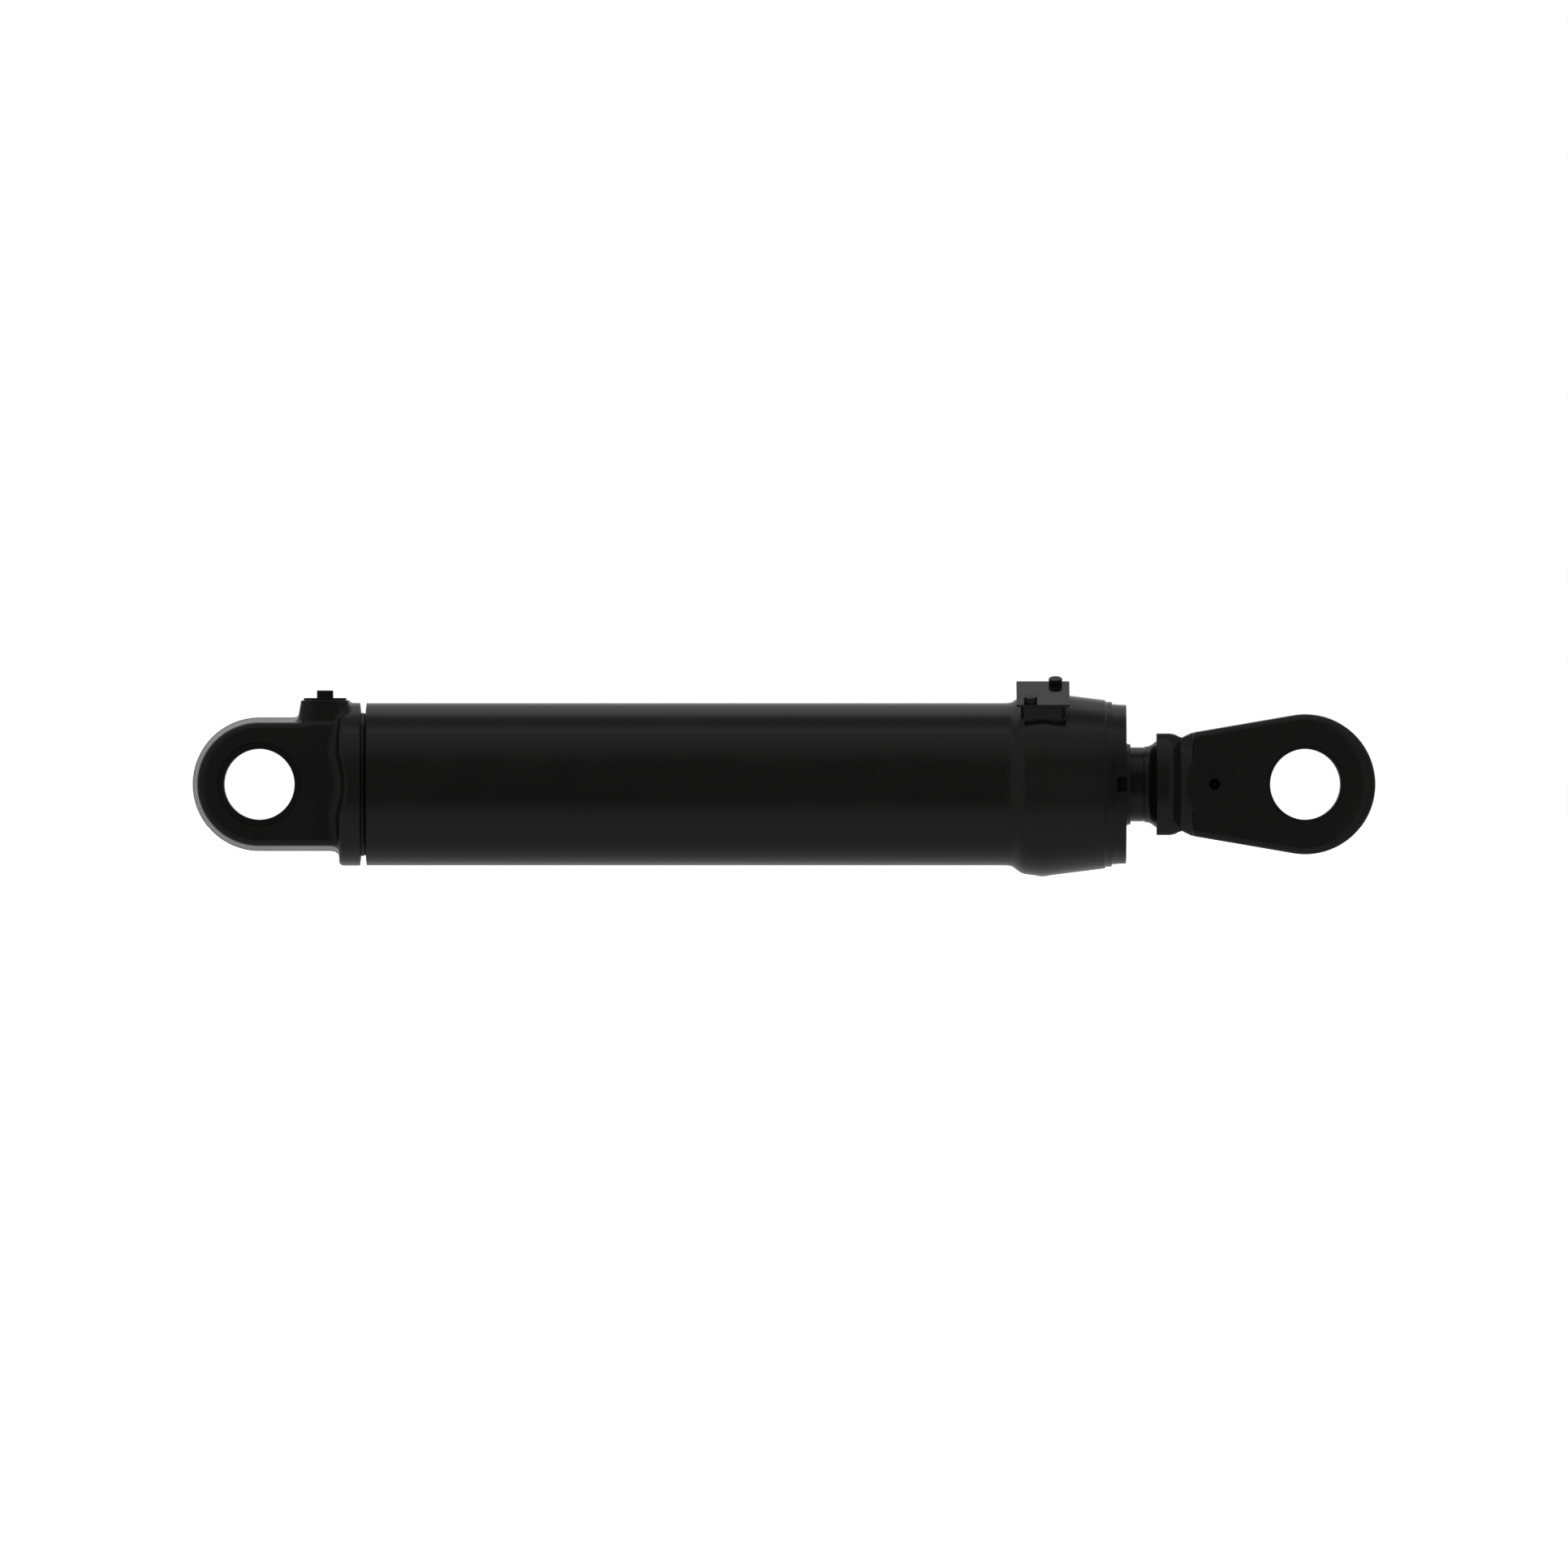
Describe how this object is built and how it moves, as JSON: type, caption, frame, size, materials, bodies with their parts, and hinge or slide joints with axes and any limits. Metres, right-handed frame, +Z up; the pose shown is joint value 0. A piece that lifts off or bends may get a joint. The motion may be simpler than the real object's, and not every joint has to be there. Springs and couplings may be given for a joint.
{
  "type": "hydraulic cylinder",
  "caption": "Single-stage double-acting hydraulic cylinder with a pin eye at each end, capped oil ports and a sliding, turning piston rod.",
  "frame": {"origin": "on the ground below the middle of the closed cylinder: half-way along its overall length, in its middle plane, level with the lowest point of the rod-end head", "axes": "+X along the centre line from the cap-end eye to the rod eye, +Y along both pins, +Z up"},
  "size_m": [1.4212, 0.2212, 0.2406],
  "materials": {
    "black_paint": "semi-gloss",
    "gloss_paint": "gloss",
    "nitrided_rod": "fine ground, black nitrided",
    "weld_bead": "satin",
    "black_zinc": "satin",
    "machined_steel": "machined",
    "phosphated_steel": "machined and phosphated, matte",
    "black_rubber": "matte",
    "polyurethane": "satin",
    "guide_resin": "matte"
  },
  "bodies": {
    "barrel": {"cap_end_eye": "black_paint", "root_weld": "weld_bead", "barrel_tube": "black_paint", "head_forging": "black_paint", "gland": "black_paint", "gland_o_ring": "black_rubber", "gland_backup_ring": "guide_resin", "rod_wear_ring_inner": "guide_resin", "rod_buffer_seal": "polyurethane", "rod_seal": "polyurethane", "rod_wear_ring_outer": "guide_resin", "rod_wiper": "polyurethane", "cap_eye_bush": "phosphated_steel", "pin_seal_rear": "black_rubber", "pin_seal_front": "black_rubber", "cap_port_plug": "black_zinc", "cap_port_o_ring": "black_rubber", "rod_port_cover": "gloss_paint", "rod_port_o_ring": "black_rubber", "rod_port_screw_rear": "black_zinc", "rod_port_screw_front": "black_zinc"},
    "piston_seals": {"piston_wear_ring_cap_side": "guide_resin", "piston_wear_ring_rod_side": "guide_resin", "piston_seal": "polyurethane", "piston_seal_energiser": "black_rubber"},
    "rod": {"piston_rod": "nitrided_rod", "piston": "machined_steel", "piston_o_ring": "black_rubber", "piston_nut": "machined_steel", "rod_eye": "black_paint", "grease_nipple": "black_zinc", "rod_eye_bush": "phosphated_steel"}
  },
  "joints": [
    {"name": "rod_slide", "type": "slide", "parent": "barrel", "child": "piston_seals", "axis": [1, 0, 0], "range_m": [0, 0.655]},
    {"name": "rod_spin", "type": "hinge", "parent": "piston_seals", "child": "rod", "pos_m": [-0.42425, 0, 0.1106], "axis": [1, 0, 0], "continuous": true}
  ]
}
